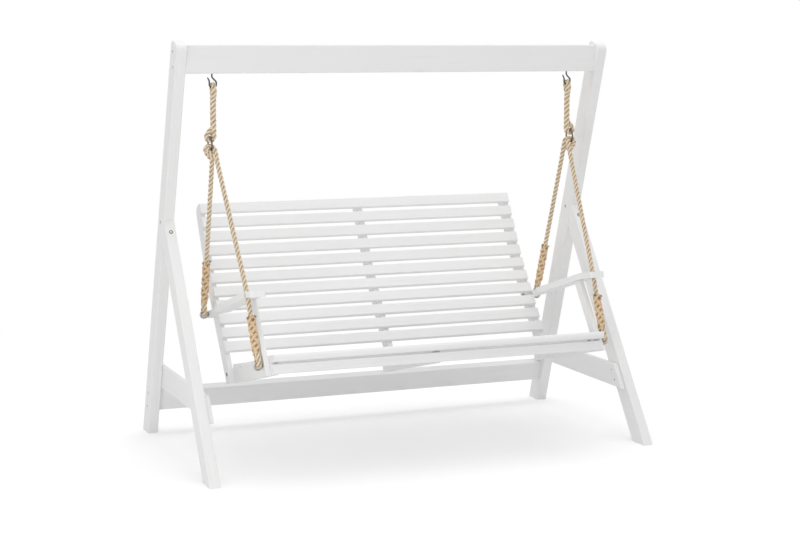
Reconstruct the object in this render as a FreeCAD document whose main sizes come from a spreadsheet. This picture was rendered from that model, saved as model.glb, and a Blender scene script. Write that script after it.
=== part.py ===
import FreeCAD, Part
import math
import os

import Sketcher
from FreeCAD import Placement, Rotation, Vector

# Driving dimensions in millimetres and degrees. X runs along the beam, the
# front of the swing faces -Y and the floor is Z = 0.
DIMENSIONS = {
    # stand
    "stand_width": 2000,
    "timber_thickness": 45,
    "timber_arris": 2.5,
    "post_depth": 95,
    "post_foot_distance": 580,
    "post_lean": 18.77,
    "post_length": 1870,
    "post_top_round": 28,
    "leg_depth": 88,
    "leg_foot_distance": 560,
    "leg_lean": 35.11,
    "beam_thickness": 60,
    "beam_height": 120,
    "beam_top": 1745,
    "beam_setback": -43,
    "beam_bevel": 4,
    "rear_rail_thickness": 45,
    "rear_rail_height": 95,
    "rear_rail_centre": 156,
    "side_rail_thickness": 22,
    "side_rail_height": 100,
    "side_rail_centre": 271,
    "side_rail_inset": 12,
    # iron fittings
    "bar_sides": 6,
    "hook_inset": 170,
    "hook_wire": 7,
    "hook_bend": 15,
    "hook_drop": 60,
    "hook_offset": 4,
    "hook_screw_length": 95,
    "hook_play": 0.2,
    "ring_wire": 7,
    "ring_bend": 30,
    "ring_drop": 234,
    "eye_wire": 8,
    "eye_bend": 15.5,
    "bolt_diameter": 8,
    "bolt_hole": 9,
    "nut_width": 13,
    "nut_height": 6.5,
    "washer_diameter": 20,
    "washer_thickness": 1.6,
    # ropes
    "rope_diameter": 20,
    "rope_play": 0.8,
    "ring_spread": 32.3,
    "throat_length": 30,
    "throat_bend": 60,
    "strop_splice_diameter": 26,
    "splice_diameter": 33,
    "rear_splice_length": 232,
    "front_splice_length": 185,
    "ring_splice_diameter": 24,
    "ring_splice_length": 60,
    # back of the seat
    "bench_clearance": 238,
    "side_thickness": 22,
    "upright_depth": 62,
    "back_start": 43,
    "back_start_height": 415,
    "back_lower_lean": 37.4,
    "back_lower_run": 396.5,
    "back_upper_lean": 29.5,
    "back_bend_radius": 900,
    "upright_top_round": 30,
    "slat_width": 48,
    "slat_thickness": 18,
    "slat_bevel": 2.5,
    "back_slat_count": 11,
    "slat_pitch": 68,
    # seat
    "seat_rear": 28,
    "seat_rear_height": 292.5,
    "seat_rise": 13.66,
    "bearer_thickness": 28,
    "bearer_length": 601,
    "bearer_depth": 64,
    "bearer_hollow": 6,
    "seat_slat_count": 8,
    "seat_slat_first": 71,
    "seat_slat_last": 54,
    "nose_width": 55,
    "nose_thickness": 30,
    "nose_top": 81,
    "nose_overhang": 42,
    "nose_round": 13,
    "nose_play": 2,
    "apron_thickness": 20,
    "apron_height": 40,
    "apron_lift": 4,
    # arms
    "arm_width": 68,
    "arm_thickness": 27,
    "arm_overhang": 28,
    "arm_slope": 15.9,
    "arm_front_slope": 9.26,
    "arm_bend_run": 71.3,
    "arm_front_run": 82,
    "arm_tail": 34,
    "arm_bend_radius": 500,
    "arm_end_round": 12,
    "arm_tail_width": 28,
    "arm_taper_start": 150,
    "arm_taper_end": 92,
    "rope_notch_run": 59.3,
    "rope_notch_width": 28,
    "rope_notch_depth": 26,
    "rear_eye_height": 570,
    "rear_eye_set": 46,
    "arm_post_depth": 44,
    "arm_post_lean": 36,
    "front_eye_inset": 48.2,
    "front_eye_height": 43.2,
}

FLOOR = ("0", "0", "90")
LEFT, RIGHT = -1, 1

document = FreeCAD.newDocument("PorchSwing")
sheet = document.addObject("Spreadsheet::Sheet", "dims")
parts = []


def fill_sheet():
    for row, (alias, number) in enumerate(DIMENSIONS.items(), start=1):
        sheet.set(f"A{row}", alias)
        sheet.set(f"B{row}", str(number))
        sheet.setAlias(f"B{row}", alias)
    document.recompute()


def value(expression):
    """The number that an expression over the sheet's cells gives."""
    found = sheet.evalExpression(expression)
    return float(getattr(found, "Value", found))


def size(alias):
    return value(f"dims.{alias}")


def side_name(side):
    return "left" if side == LEFT else "right"


# Straight lines in the YZ plane are (y, z, lean): a point and the angle from
# vertical at which the line climbs towards +Y.
def beside(line, gap):
    """The parallel line that lies further back by the gap."""
    y, z, lean = line
    return (f"(({y}) + ({gap}) * cos({lean}))", f"(({z}) - ({gap}) * sin({lean}))", lean)


def crossing(first, second):
    """The point where two lines meet, as two expressions."""
    ya, za, la = first
    yb, zb, lb = second
    run = f"((({yb}) - ({ya})) * cos({lb}) - (({zb}) - ({za})) * sin({lb})) / sin(({la}) - ({lb}))"
    return f"({ya}) + ({run}) * sin({la})", f"({za}) + ({run}) * cos({la})"


def spot(first, second):
    """The meeting point of two lines as numbers."""
    return tuple(value(text) for text in crossing(first, second))


def level(height):
    return ("0", height, "90")


def new_body(label):
    body = document.addObject("PartDesign::Body", "Body")
    body.Label = label
    parts.append(body)
    return body


def new_sketch(body, role, name):
    sketch = body.newObject("Sketcher::SketchObject", name)
    plane = next(item for item in body.Origin.OriginFeatures if item.Role == role)
    sketch.AttachmentSupport = [(plane, "")]
    sketch.MapMode = "FlatFace"
    return sketch


def bind(sketch, kind, places, expression):
    number = sketch.addConstraint(Sketcher.Constraint(kind, *places, value(expression)))
    sketch.setExpression(f"Constraints[{number}]", expression)


def rounded(points, index, radius):
    """Centre, start and end of the arc that rounds one corner of an outline."""
    corner = points[index]
    before = (points[index - 1] - corner).normalize()
    after = (points[(index + 1) % len(points)] - corner).normalize()
    half = before.getAngle(after) / 2
    run = radius / math.tan(half)
    centre = corner + (before + after).normalize() * (radius / math.sin(half))
    return centre, corner + before * run, corner + after * run


def draw_outline(sketch, corners):
    """A closed outline through corners (y, z) or (y, z, radius), all of them bound."""
    points = [Vector(value(corner[0]), value(corner[1]), 0) for corner in corners]
    count = len(points)
    ends = [[points[i], points[(i + 1) % count]] for i in range(count)]
    arcs = {}
    for i, corner in enumerate(corners):
        if len(corner) == 3:
            arcs[i] = rounded(points, i, value(corner[2]))
            ends[i - 1][1] = arcs[i][1]
            ends[i][0] = arcs[i][2]
    lines = [sketch.addGeometry(Part.LineSegment(*pair), False) for pair in ends]
    for i, corner in enumerate(corners):
        if i in arcs:
            place = draw_corner(sketch, lines[i - 1], lines[i], points[i], arcs[i], corner[2])
        else:
            sketch.addConstraint(Sketcher.Constraint("Coincident", lines[i - 1], 2, lines[i], 1))
            place = (lines[i], 1)
        bind(sketch, "DistanceX", (-1, 1, *place), corner[0])
        bind(sketch, "DistanceY", (-1, 1, *place), corner[1])


def draw_corner(sketch, before, after, corner, arc, radius):
    """One rounded corner: an arc tangent to both lines, and the corner itself as a point."""
    centre, start, end = arc
    first = math.atan2(start.y - centre.y, start.x - centre.x)
    last = math.atan2(end.y - centre.y, end.x - centre.x)
    leftward = (last - first) % (2 * math.pi) < math.pi
    if not leftward:
        first, last = last, first
    circle = Part.Circle(centre, Vector(0, 0, 1), value(radius))
    curve = sketch.addGeometry(Part.ArcOfCircle(circle, first, last), False)
    near, far = (1, 2) if leftward else (2, 1)
    point = sketch.addGeometry(Part.Point(corner), True)
    sketch.addConstraint(Sketcher.Constraint("PointOnObject", point, 1, before))
    sketch.addConstraint(Sketcher.Constraint("PointOnObject", point, 1, after))
    sketch.addConstraint(Sketcher.Constraint("Tangent", before, 2, curve, near))
    sketch.addConstraint(Sketcher.Constraint("Tangent", curve, far, after, 1))
    bind(sketch, "Radius", (curve,), radius)
    return point, 1


def draw_circle(sketch, x, y, radius):
    circle = Part.Circle(Vector(value(x), value(y), 0), Vector(0, 0, 1), value(radius))
    curve = sketch.addGeometry(circle, False)
    bind(sketch, "DistanceX", (-1, 1, curve, 3), x)
    bind(sketch, "DistanceY", (-1, 1, curve, 3), y)
    bind(sketch, "Radius", (curve,), radius)


def pad(body, corners, length, name="Board"):
    """An outline in the YZ plane made into a board along +X."""
    sketch = new_sketch(body, "YZ_Plane", name + "Outline")
    draw_outline(sketch, corners)
    feature = body.newObject("PartDesign::Pad", name)
    feature.Profile = sketch
    feature.setExpression("Length", length)
    document.recompute()
    return feature


def cut(body, sketch, name, depth=None, backwards=True):
    """A pocket towards the sketch's normal, or right through where no depth is given."""
    before = body.Shape.Volume
    feature = body.newObject("PartDesign::Pocket", name)
    feature.Profile = sketch
    feature.Reversed = backwards
    if depth is None:
        feature.Type = "ThroughAll"
    else:
        feature.Type = "Length"
        feature.setExpression("Length", depth)
    document.recompute()
    if body.Shape.Volume >= before - 1:
        raise RuntimeError(f"{body.Label}: {name} removes nothing")
    return feature


def bore(body, name, places, radius, start="0", depth=None):
    """Round holes along +X at places (y, z), from a distance along the board."""
    sketch = new_sketch(body, "YZ_Plane", name + "Circles")
    sketch.setExpression("AttachmentOffset.Base.z", start)
    for y, z in places:
        draw_circle(sketch, y, z, radius)
    return cut(body, sketch, name, depth)


def drill(body, name, point, x, radius, length):
    """A round blind hole that goes up from a point (y, z)."""
    sketch = new_sketch(body, "XY_Plane", name + "Circle")
    sketch.setExpression("AttachmentOffset.Base.y", point[0])
    sketch.setExpression("AttachmentOffset.Base.z", point[1])
    draw_circle(sketch, x, "0", radius)
    cut(body, sketch, name, length)


def on_board_faces(edge):
    return edge.BoundBox.XLength < 1e-6


def ease(body, feature, width, chosen=on_board_faces):
    """A small chamfer along the outline edges on both faces of a board."""
    names = [f"Edge{number}" for number, edge in enumerate(feature.Shape.Edges, start=1) if chosen(edge)]
    chamfer = body.newObject("PartDesign::Chamfer", "Arris")
    chamfer.Base = (feature, names)
    chamfer.setExpression("Size", width)
    document.recompute()
    return chamfer


def above_floor(edge):
    return on_board_faces(edge) and edge.BoundBox.ZMax > 1


def place(body, x="0", y="0", z="0", turn=None):
    """The body's place, and its turn about the X axis."""
    if turn is not None:
        body.Placement = Placement(Vector(0, 0, 0), Rotation(Vector(1, 0, 0), value(turn)))
        body.setExpression("Placement.Rotation.Angle", turn)
    body.setExpression("Placement.Base.x", x)
    body.setExpression("Placement.Base.y", y)
    body.setExpression("Placement.Base.z", z)


def outer_x(side, half_width, thickness):
    """Where a board starts along X when its outer face is half a width from the middle."""
    return f"-({half_width})" if side == LEFT else f"({half_width}) - ({thickness})"


def tangent_wire(points, radii):
    """A wire of straight runs joined by tangent arcs, one radius per inner point."""
    edges = []
    last = points[0]
    for index, radius in enumerate(radii, start=1):
        corner = points[index]
        before = (points[index - 1] - corner).normalize()
        after = (points[index + 1] - corner).normalize()
        half = before.getAngle(after) / 2
        run = radius / math.tan(half)
        middle = corner + (before + after).normalize() * (radius / math.sin(half) - radius)
        if (corner + before * run - last).Length > 1e-4:
            edges.append(Part.LineSegment(last, corner + before * run).toShape())
        last = corner + after * run
        edges.append(Part.Arc(corner + before * run, middle, last).toShape())
    if (points[-1] - last).Length > 1e-4:
        edges.append(Part.LineSegment(last, points[-1]).toShape())
    return Part.Wire(edges)


def station(wire, distance):
    """The point and the direction of a wire at a distance from its start."""
    for edge in wire.Edges:
        if distance <= edge.Length or edge.isSame(wire.Edges[-1]):
            at = edge.getParameterByLength(min(distance, edge.Length))
            extra = max(0, distance - edge.Length)
            heading = edge.tangentAt(at).normalize()
            return edge.valueAt(at) + heading * extra, heading
        distance -= edge.Length


def facets(centre, heading, radius):
    """The even-sided outline that stands for a round bar's section, inside its circle."""
    sides = int(size("bar_sides"))
    across = heading.cross(Vector(1, 0, 0))
    if across.Length < 0.1:
        across = heading.cross(Vector(0, 1, 0))
    across.normalize()
    other = heading.cross(across)
    points = []
    for step in range(sides + 1):
        angle = 2 * math.pi * (step + 0.5) / sides
        points.append(centre + across * (radius * math.cos(angle)) + other * (radius * math.sin(angle)))
    return Part.makePolygon(points)


def bar(wire, radius):
    """A bar of faceted section along a wire of straight runs and arcs."""
    start, heading = station(wire, 0)
    return wire.makePipeShell([facets(start, heading, radius)], True, False)


def straight_bar(start, heading, length, radius):
    return Part.Face(facets(start, heading, radius)).extrude(heading * length)


def add_group(label, solids):
    """A group of identical pieces as one object."""
    group = document.addObject("Part::Feature", label)
    group.Label = label
    group.Shape = Part.makeCompound(solids)
    group.Placement = Placement()
    parts.append(group)
    return group


def add_shape(label, shape):
    piece = document.addObject("Part::Feature", label)
    piece.Label = label
    piece.Shape = shape
    piece.Placement = Placement()
    parts.append(piece)
    return piece


# Lines and heights that several pieces share.
POST_REAR = ("dims.post_foot_distance", "0", "-dims.post_lean")
POST_FRONT = beside(POST_REAR, "-dims.post_depth")
POST_TOP = (
    "(dims.post_foot_distance - dims.post_length * sin(dims.post_lean))",
    "(dims.post_length * cos(dims.post_lean))",
    "(90 - dims.post_lean)",
)
POST_MIDDLE = beside(POST_REAR, "-dims.post_depth / 2")
LEG_FRONT = ("-dims.leg_foot_distance", "0", "dims.leg_lean")
LEG_REAR = beside(LEG_FRONT, "dims.leg_depth")
HALF_STAND = "dims.stand_width / 2"
HOOK_HALF = f"({HALF_STAND} - dims.hook_inset)"
HALF_BENCH = f"({HALF_STAND} - dims.bench_clearance)"
INNER_HALF = f"({HALF_STAND} - dims.timber_thickness)"
BEAM_MIDDLE = "(dims.beam_top - dims.beam_height / 2)"
REAR_RAIL = crossing(POST_MIDDLE, level("dims.rear_rail_centre"))

BACK_BEND_Y = "(dims.back_start + dims.back_lower_run * sin(dims.back_lower_lean))"
BACK_BEND_Z = "(dims.back_start_height + dims.back_lower_run * cos(dims.back_lower_lean))"
BACK_LOWER = ("dims.back_start", "dims.back_start_height", "dims.back_lower_lean")
BACK_UPPER = (BACK_BEND_Y, BACK_BEND_Z, "dims.back_upper_lean")
BACK_UPPER_RUN = (
    "(dims.slat_pitch * (dims.back_slat_count - 0.5) + dims.slat_width / 2 + 6 - dims.back_lower_run)"
)
BACK_TOP = (
    f"({BACK_BEND_Y} + {BACK_UPPER_RUN} * sin(dims.back_upper_lean))",
    f"({BACK_BEND_Z} + {BACK_UPPER_RUN} * cos(dims.back_upper_lean))",
    "(dims.back_upper_lean - 90)",
)
SEAT_LINE = ("dims.seat_rear", "dims.seat_rear_height", "(dims.seat_rise - 90)")
REAR_EYE_LINE = beside(BACK_LOWER, "dims.rear_eye_set * cos(dims.back_lower_lean)")
REAR_EYE = crossing(REAR_EYE_LINE, level("dims.rear_eye_height"))
LEDGE_RUN = "(dims.bearer_length + dims.nose_overhang - dims.nose_width - dims.nose_play)"
SEAT_SLATS_RUN = "(dims.bearer_length - dims.seat_slat_first - dims.seat_slat_last)"
SEAT_PITCH = f"({SEAT_SLATS_RUN} / (dims.seat_slat_count - 1))"
HOLLOW_RUNS = [f"(dims.seat_slat_first + {SEAT_PITCH} * {gaps})" for gaps in (2.5, 4.5)]
FRONT_EYE_RUN = "(dims.bearer_length - dims.front_eye_inset)"
RISE_SINE, RISE_COSINE = "sin(dims.seat_rise)", "cos(dims.seat_rise)"
FRONT_EYE = (
    f"(dims.seat_rear - {FRONT_EYE_RUN} * {RISE_COSINE} + dims.front_eye_height * {RISE_SINE})",
    f"(dims.seat_rear_height + {FRONT_EYE_RUN} * {RISE_SINE} + dims.front_eye_height * {RISE_COSINE})",
)
ARM_MIDDLE = (REAR_EYE[0], REAR_EYE[1], "(dims.arm_slope - 90)")
ARM_POST_MIDDLE = (FRONT_EYE[0], FRONT_EYE[1], "dims.arm_post_lean")
ARM_POST_TOP = crossing(ARM_POST_MIDDLE, ARM_MIDDLE)
ARM_POST_RUN = f"(({REAR_EYE[0]} - ({ARM_POST_TOP[0]})) / cos(dims.arm_slope))"
ARM_REAR_RUN = f"({ARM_POST_RUN} + dims.arm_bend_run)"
NOTCH_BACK = f"({ARM_POST_RUN} + dims.rope_notch_run)"
ARM_FRONT_END = f"({ARM_REAR_RUN} + dims.arm_front_run)"
BENCH_INNER = f"({HALF_BENCH} - dims.side_thickness)"
ARM_INNER = f"({HALF_BENCH} - dims.arm_overhang)"


# Stand
def make_post(side):
    body = new_body(f"{side_name(side)}_post")
    board = pad(
        body,
        [
            crossing(POST_REAR, FLOOR),
            (POST_TOP[0], POST_TOP[1], "dims.post_top_round"),
            (*crossing(POST_FRONT, POST_TOP), "dims.post_top_round"),
            crossing(POST_FRONT, FLOOR),
        ],
        "dims.timber_thickness",
    )
    ease(body, board, "dims.timber_arris", above_floor)
    place(body, outer_x(side, HALF_STAND, "dims.timber_thickness"))


def make_leg(side):
    body = new_body(f"{side_name(side)}_leg")
    board = pad(
        body,
        [
            crossing(LEG_FRONT, FLOOR),
            crossing(LEG_REAR, FLOOR),
            crossing(LEG_REAR, POST_FRONT),
            crossing(LEG_FRONT, POST_FRONT),
        ],
        "dims.timber_thickness",
    )
    ease(body, board, "dims.timber_arris", above_floor)
    place(body, outer_x(side, HALF_STAND, "dims.timber_thickness"))


def make_side_rail(side):
    body = new_body(f"{side_name(side)}_side_rail")
    low = level("dims.side_rail_centre - dims.side_rail_height / 2")
    high = level("dims.side_rail_centre + dims.side_rail_height / 2")
    front = beside(LEG_FRONT, "dims.side_rail_inset")
    rear = beside(POST_REAR, "-dims.side_rail_inset")
    board = pad(
        body,
        [crossing(front, low), crossing(rear, low), crossing(rear, high), crossing(front, high)],
        "dims.side_rail_thickness",
    )
    ease(body, board, "dims.timber_arris")
    place(body, outer_x(side, INNER_HALF, "dims.side_rail_thickness"))


def section(depth, height, bevel, sides=(-1, 1)):
    """A rectangle about the origin, bevelled on its faces at -depth / 2, +depth / 2 or both."""
    z, low = f"({height} / 2)", f"({height} / 2 - {bevel})"
    corners = []
    for side in (-1, 1):
        y, near = f"{side} * {depth} / 2", f"{side} * ({depth} / 2 - {bevel})"
        if side in sides:
            corners += [(near, f"{side} * {z}"), (y, f"{side} * {low}")]
            corners += [(y, f"-{side} * {low}"), (near, f"-{side} * {z}")]
        else:
            corners += [(y, f"{side} * {z}"), (y, f"-{side} * {z}")]
    return corners


def make_rear_rail():
    body = new_body("rear_rail")
    long = f"2 * {INNER_HALF}"
    pad(body, section("dims.rear_rail_thickness", "dims.rear_rail_height", "dims.timber_arris"), long)
    place(body, f"-{INNER_HALF}", REAR_RAIL[0], REAR_RAIL[1], "dims.post_lean")


def make_beam():
    body = new_body("top_beam")
    long = f"2 * {INNER_HALF}"
    pad(body, section("dims.beam_thickness", "dims.beam_height", "dims.beam_bevel"), long)
    for side in (LEFT, RIGHT):
        along = f"{INNER_HALF} + {side} * {HOOK_HALF} - dims.hook_offset"
        name = side_name(side).title() + "HookHole"
        radius = "dims.hook_wire / 2 + dims.hook_play"
        drill(body, name, ("0", "-dims.beam_height / 2"), along, radius, "dims.hook_screw_length")
    place(body, f"-{INNER_HALF}", "dims.beam_setback", BEAM_MIDDLE)


def hook_seat(side):
    """The centre of the hook's wire where the rope bears on it."""
    low = size("beam_top") - size("beam_height") - size("hook_drop")
    return Vector(side * value(HOOK_HALF), size("beam_setback"), low)


def make_hook(side):
    """A hook whose shank is screwed into the beam from below, as far as the bottom of its hole."""
    seat = hook_seat(side)
    bend = size("hook_bend")
    top = size("hook_screw_length") + size("hook_drop")
    shank = -size("hook_offset")
    route = [(shank, top), (shank, 3 * bend), (bend, 1.7 * bend), (bend, 0), (-bend, 0)]
    route += [(-bend, 1.9 * bend), (-1.5 * bend, 2.9 * bend)]
    wire = tangent_wire(
        [seat + Vector(x, 0, z) for x, z in route], [0.7 * bend, 0.7 * bend, bend, bend, 0.7 * bend]
    )
    add_shape(f"{side_name(side)}_hook", bar(wire, size("hook_wire") / 2))


# Rings, nuts and ropes
def nut(base, axis):
    """A hexagon nut on its washer, standing on the base point along the axis, cut to fit its bolt."""
    reach = size("nut_width") / math.sqrt(3)
    thin, height = size("washer_thickness"), size("nut_height")
    angles = [math.radians(60 * step) for step in range(7)]
    corners = [Vector(reach * math.cos(angle), reach * math.sin(angle), thin) for angle in angles]
    block = Part.Face(Part.makePolygon(corners)).extrude(Vector(0, 0, height))
    outline = facets(Vector(), Vector(0, 0, 1), size("washer_diameter") / 2)
    disc = Part.Face(outline).extrude(Vector(0, 0, thin))
    piece = block.fuse(disc)
    piece.Placement = Placement(base, Rotation(Vector(0, 0, 1), axis))
    bolt = straight_bar(base - axis, axis, thin + height + 2, size("bolt_diameter") / 2)
    return piece.cut(bolt)


def ring_middle(side):
    """The ring hangs clear of the rope's inner leg, which runs straight down."""
    gap = size("ring_wire") / 2 + size("rope_diameter") / 2 + size("rope_play")
    return hook_seat(side) + Vector(side * gap, 0, -size("ring_drop"))


def make_rings():
    """Both welded rings, each a full turn of the bar."""
    rings = []
    for side in (LEFT, RIGHT):
        middle = ring_middle(side)
        outline = facets(middle + Vector(0, size("ring_bend"), 0), Vector(0, 0, 1), size("ring_wire") / 2)
        rings.append(Part.Face(outline).revolve(middle, Vector(1, 0, 0), 360))
    add_group("rings", rings)


def loop_corners(centre, away, aside, bend, shift):
    """The corners of a rope's loop round a wire: its throat and the two corners beyond the wire.

    The throat lies to one side of the wire's centre by the shift.
    """
    depth = size("throat_length")
    middle = math.atan2(-shift, depth)
    spread = math.asin(bend / math.hypot(shift, depth))
    far = centre + away * bend
    first = far + aside * (shift + (depth + bend) * math.tan(middle - spread))
    second = far + aside * (shift + (depth + bend) * math.tan(middle + spread))
    return centre - away * depth + aside * shift, first, second


def closing_leg(throat, corner, centre, radius):
    """The straight leg of a loop that comes back from the wire to the throat."""
    heading = (throat - corner).normalize()
    start = corner + heading * ((centre - corner).dot(heading))
    return straight_bar(start, heading, (throat - start).Length, radius)


def splice(start, heading, length, radius, core):
    """The thicker part of a rope where its strands are tucked back, tapered at both ends."""
    shape = [(-14, core + 2), (0, radius - 0.5), (14, radius), (length - 14, radius), (length, core + 1)]
    outlines = [facets(start + heading * along, heading, out) for along, out in shape]
    return Part.makeLoft(outlines, True, True)


def report_rope(label, wire, shape):
    start, heading = station(wire, 0)
    section_area = Part.Face(facets(start, heading, size("rope_diameter") / 2)).Area
    bends = [round(edge.Curve.Radius, 1) for edge in wire.Edges if hasattr(edge.Curve, "Radius")]
    length = wire.Length
    print(f"{label}: length {length:.1f}, bends {bends}, section x length {section_area * length:.0f}")
    print(f"{label}: volume {shape.Volume:.0f}")


def upper_rope(side):
    """A rope spliced into an eye at both ends: over the hook and under the ring's top."""
    radius = size("rope_diameter") / 2
    up, inward = Vector(0, 0, 1), Vector(-side, 0, 0)
    hook_end = hook_seat(side)
    hook_bend = size("hook_wire") / 2 + radius + size("rope_play")
    top, near, far = loop_corners(hook_end, up, Vector(0, 1, 0), hook_bend, 0)
    ring_end = ring_middle(side) + up * size("ring_bend")
    ring_bend = size("ring_wire") / 2 + radius + size("rope_play")
    bottom, outer, inner = loop_corners(ring_end, up * -1, inward, ring_bend, ring_bend)
    last = outer + (bottom - outer).normalize() * ((ring_end - outer).dot((bottom - outer).normalize()))
    first = far + (top - far).normalize() * ((hook_end - far).dot((top - far).normalize()))
    radii = [hook_bend, hook_bend, size("throat_bend"), ring_bend, ring_bend]
    wire = tangent_wire([first, far, near, top, inner, outer, last], radii)
    shape = bar(wire, radius)
    shape = shape.fuse([
        closing_leg(top, far, hook_end, radius),
        closing_leg(bottom, outer, ring_end, radius),
        splice(top, up * -1, (top - bottom).Length + 6, size("strop_splice_diameter") / 2, radius),
    ]).removeSplitter()
    return wire, shape


def lower_rope(side, place_name, eye, knee=None):
    """A rope from the ring's lower wire to an eye bolt, over the armrest's notch if there is one."""
    radius = size("rope_diameter") / 2
    inward = Vector(-side, 0, 0)
    forward = -1 if place_name == "front" else 1
    spread = math.radians(size("ring_spread"))
    low = Vector(0, forward * math.sin(spread), -math.cos(spread)) * size("ring_bend")
    ring_end = ring_middle(side) + low
    ring_bend = size("ring_wire") / 2 + radius + 2 * size("rope_play")
    eye_bend = size("eye_wire") / 2 + radius + size("rope_play")
    target = knee or eye
    heading, aside = (target - ring_end).normalize(), inward
    for _ in range(4):
        heading = (target - ring_end - aside * ring_bend).normalize()
        aside = (inward - heading * inward.dot(heading)).normalize()
    throat, outer, inner = loop_corners(ring_end, heading * -1, aside, ring_bend, ring_bend)
    last = outer + (throat - outer).normalize() * ((ring_end - outer).dot((throat - outer).normalize()))
    end_heading = (eye - target).normalize() if knee else heading
    across = end_heading.cross(Vector(1, 0, 0)).normalize()
    neck, near, far = loop_corners(eye, end_heading, across, eye_bend, 0)
    first = far + (neck - far).normalize() * ((eye - far).dot((neck - far).normalize()))
    points = [first, far, near, neck] + ([knee] if knee else []) + [inner, outer, last]
    slack = size("throat_bend")
    radii = [eye_bend, eye_bend, slack] + ([slack] if knee else []) + [ring_bend, ring_bend]
    wire = tangent_wire(points, radii)
    shape = bar(wire, radius)
    long = size(f"{place_name}_splice_length")
    shape = shape.fuse([
        closing_leg(neck, far, eye, radius),
        closing_leg(throat, outer, ring_end, radius),
        splice(neck, end_heading * -1, long, size("splice_diameter") / 2, radius),
        splice(throat, heading, size("ring_splice_length"), size("ring_splice_diameter") / 2, radius),
    ]).removeSplitter()
    return wire, shape


def eye_middle(side, place_name):
    """The centre of an eye bolt's eye, outside the board that it holds."""
    if place_name == "rear":
        y, z = REAR_EYE
        face = f"{HALF_BENCH} + dims.arm_tail_width"
    else:
        y, z = FRONT_EYE
        face = HALF_BENCH
    out = value(face) + size("eye_bend") + size("eye_wire") / 2
    return Vector(side * out, value(y), value(z))


def rope_knee(side):
    """The point where the front rope bends over the rear wall of the armrest's notch."""
    radius = size("rope_diameter") / 2
    along = value(NOTCH_BACK) + radius + 3.5
    slope = math.radians(size("arm_slope"))
    x = value(ARM_INNER) + size("arm_width") - size("rope_notch_depth") + radius + 3
    y, z = value(REAR_EYE[0]), value(REAR_EYE[1])
    return Vector(side * x, y - along * math.cos(slope), z + along * math.sin(slope))


def make_ropes():
    """The ropes of the right side, and the same mirrored for the left."""
    top = Vector(0, 0, size("eye_bend"))
    ropes = {
        "upper_rope": upper_rope(RIGHT),
        "rear_rope": lower_rope(RIGHT, "rear", eye_middle(RIGHT, "rear") + top),
        "front_rope": lower_rope(RIGHT, "front", eye_middle(RIGHT, "front") + top, rope_knee(RIGHT)),
    }
    for name, (wire, shape) in ropes.items():
        report_rope(name, wire, shape)
        add_shape(f"right_{name}", shape)
        add_shape(f"left_{name}", shape.mirror(Vector(0, 0, 0), Vector(1, 0, 0)))


# Seat
def make_upright(name, start):
    body = new_body(f"{name}_upright")
    deep = "dims.upright_depth"
    rear_lower, rear_upper = beside(BACK_LOWER, deep), beside(BACK_UPPER, deep)
    pad(
        body,
        [
            crossing(BACK_LOWER, SEAT_LINE),
            crossing(rear_lower, SEAT_LINE),
            (*crossing(rear_lower, rear_upper), f"dims.back_bend_radius + {deep}"),
            (*crossing(rear_upper, BACK_TOP), "dims.upright_top_round"),
            (BACK_TOP[0], BACK_TOP[1], "dims.upright_top_round / 5"),
            (BACK_BEND_Y, BACK_BEND_Z, "dims.back_bend_radius"),
        ],
        "dims.side_thickness",
    )
    if name != "centre":
        bore(body, "EyeBoltHole", (REAR_EYE,), "dims.bolt_hole / 2")
    place(body, start)


def on_seat(point):
    """A point of the YZ plane seen from the rear bottom corner of the bearers, turned with them."""
    y, z = f"(({point[0]}) - dims.seat_rear)", f"(({point[1]}) - dims.seat_rear_height)"
    rise = "dims.seat_rise"
    return f"({y} * cos({rise}) - {z} * sin({rise}))", f"({y} * sin({rise}) + {z} * cos({rise}))"


def place_on_seat(body, start, u="0", v="0"):
    """Places a body at u forwards and v upwards from the bearers' rear bottom corner."""
    sine, cosine = "sin(dims.seat_rise)", "cos(dims.seat_rise)"
    y = f"dims.seat_rear - ({u}) * {cosine} + ({v}) * {sine}"
    z = f"dims.seat_rear_height + ({u}) * {sine} + ({v}) * {cosine}"
    place(body, start, y, z, "-dims.seat_rise")


def make_bearer(name, start):
    body = new_body(f"{name}_bearer")
    long, deep = "dims.bearer_length", "dims.bearer_depth"
    ledge = "dims.nose_top - dims.nose_thickness"
    pad(
        body,
        [
            ("0", "0"),
            ("0", deep, "dims.upright_top_round / 1.5"),
            *[(f"-{run}", f"{deep} - dims.bearer_hollow") for run in HOLLOW_RUNS],
            (f"-{LEDGE_RUN}", deep),
            (f"-{LEDGE_RUN}", ledge),
            (f"-{long}", ledge),
            (f"-{long}", "0"),
        ],
        "dims.bearer_thickness",
    )
    if name != "centre":
        bore(body, "EyeBoltHole", (on_seat(FRONT_EYE),), "dims.bolt_hole / 2")
    place_on_seat(body, start)


def make_nose():
    body = new_body("nose_slat")
    wide, thick, radius = "dims.nose_width", "dims.nose_thickness", "dims.nose_round"
    pad(
        body,
        [
            ("0", "0"),
            ("0", thick),
            (f"-{wide}", thick, radius),
            (f"-{wide}", "0", radius),
        ],
        f"2 * {BENCH_INNER}",
    )
    rear = "dims.bearer_length + dims.nose_overhang - dims.nose_width"
    place_on_seat(body, f"-{BENCH_INNER}", rear, "dims.nose_top - dims.nose_thickness")


def make_apron():
    body = new_body("apron")
    pad(body, section("dims.apron_thickness", "dims.apron_height", "dims.slat_bevel"), f"2 * {BENCH_INNER}")
    u = "dims.bearer_length + dims.apron_thickness / 2"
    v = "dims.apron_lift + dims.apron_height / 2"
    place_on_seat(body, f"-{BENCH_INNER}", u, v)


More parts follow.
